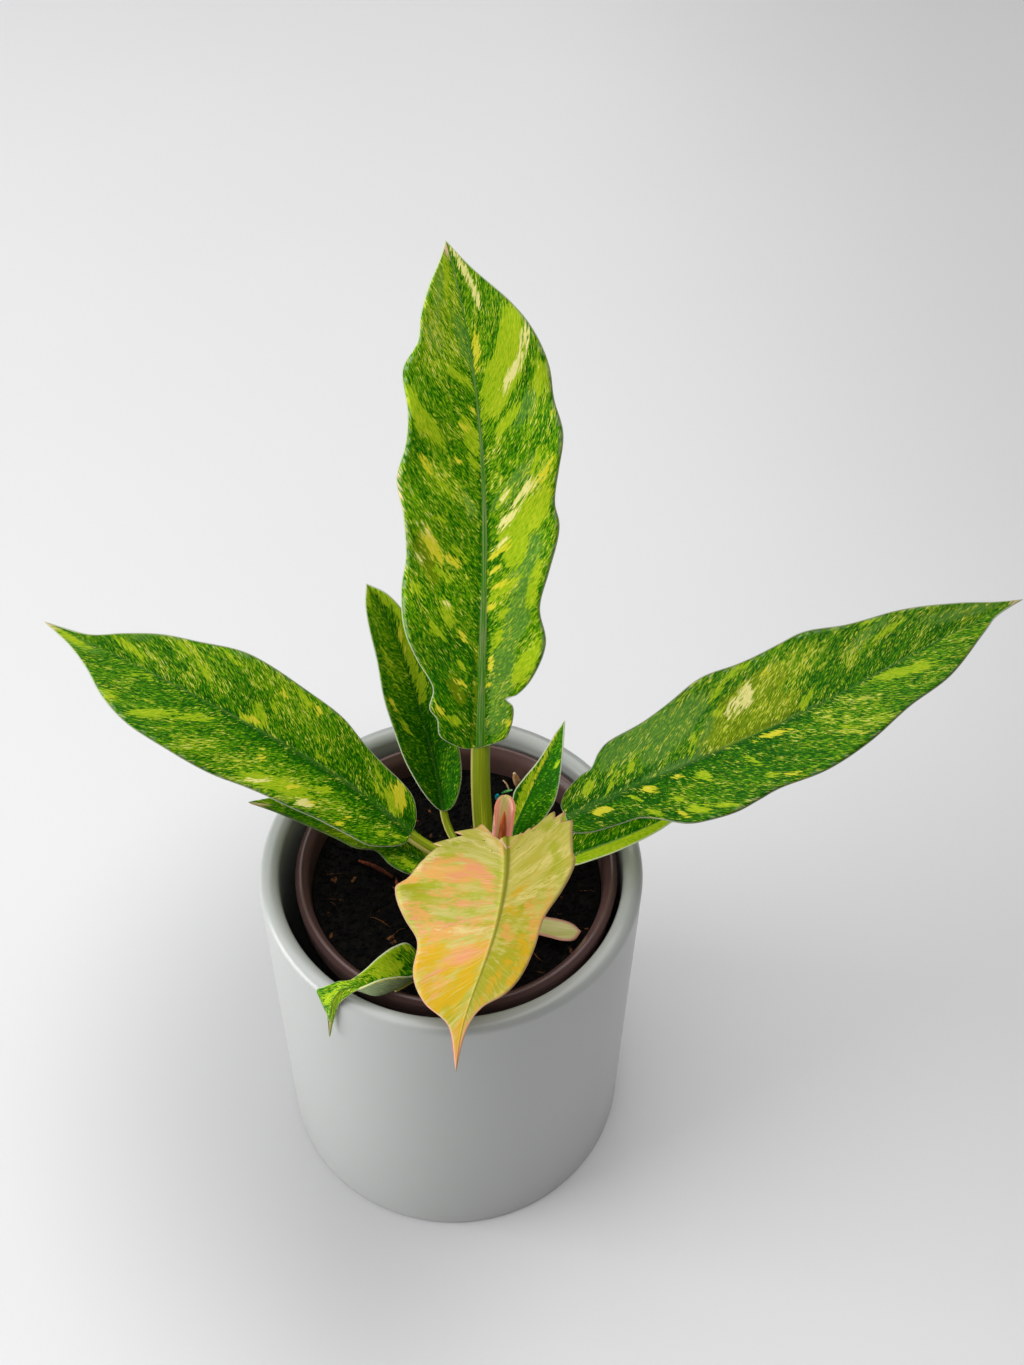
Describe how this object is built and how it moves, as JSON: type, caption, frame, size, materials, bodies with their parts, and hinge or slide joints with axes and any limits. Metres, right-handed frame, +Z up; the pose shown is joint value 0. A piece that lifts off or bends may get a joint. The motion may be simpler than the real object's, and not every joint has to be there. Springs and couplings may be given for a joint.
{
  "type": "potted philodendron",
  "caption": "Young philodendron with long variegated leaves, in a nursery pot that stands in a plain cylindrical cover pot.",
  "frame": {"origin": "centre of the cover pot's flat foot, on the surface it stands on", "axes": "+Z up along the cover pot's axis, -Y towards the side the plant is looked at from, +X to the viewer's right"},
  "size_m": [0.365, 0.2142, 0.3765],
  "materials": {
    "glaze_white": "satin glaze",
    "plastic_brown": "satin",
    "peat_black": "crumbly peat",
    "stem_green": "smooth green bark",
    "leaf_green": "waxy leaf, green speckled with cream",
    "leaf_yellow": "waxy leaf, yellow and pink",
    "leaf_pale": "waxy leaf, pale green",
    "sheath_pink": "thin waxy sheath",
    "bud_orange": "waxy rolled leaf"
  },
  "bodies": {
    "root": {"cover_pot": "glaze_white", "nursery_pot": "plastic_brown", "soil": "peat_black", "stem": "stem_green", "leaf_tall": "leaf_green", "leaf_left": "leaf_green", "leaf_right": "leaf_green", "leaf_back": "leaf_green", "leaf_small": "leaf_green", "leaf_low_left": "leaf_green", "leaf_low_right": "leaf_green", "leaf_front": "leaf_green", "leaf_new": "leaf_yellow", "scale_leaf": "leaf_pale", "bud_sheath": "sheath_pink", "rolled_leaf": "bud_orange"}
  },
  "joints": []
}
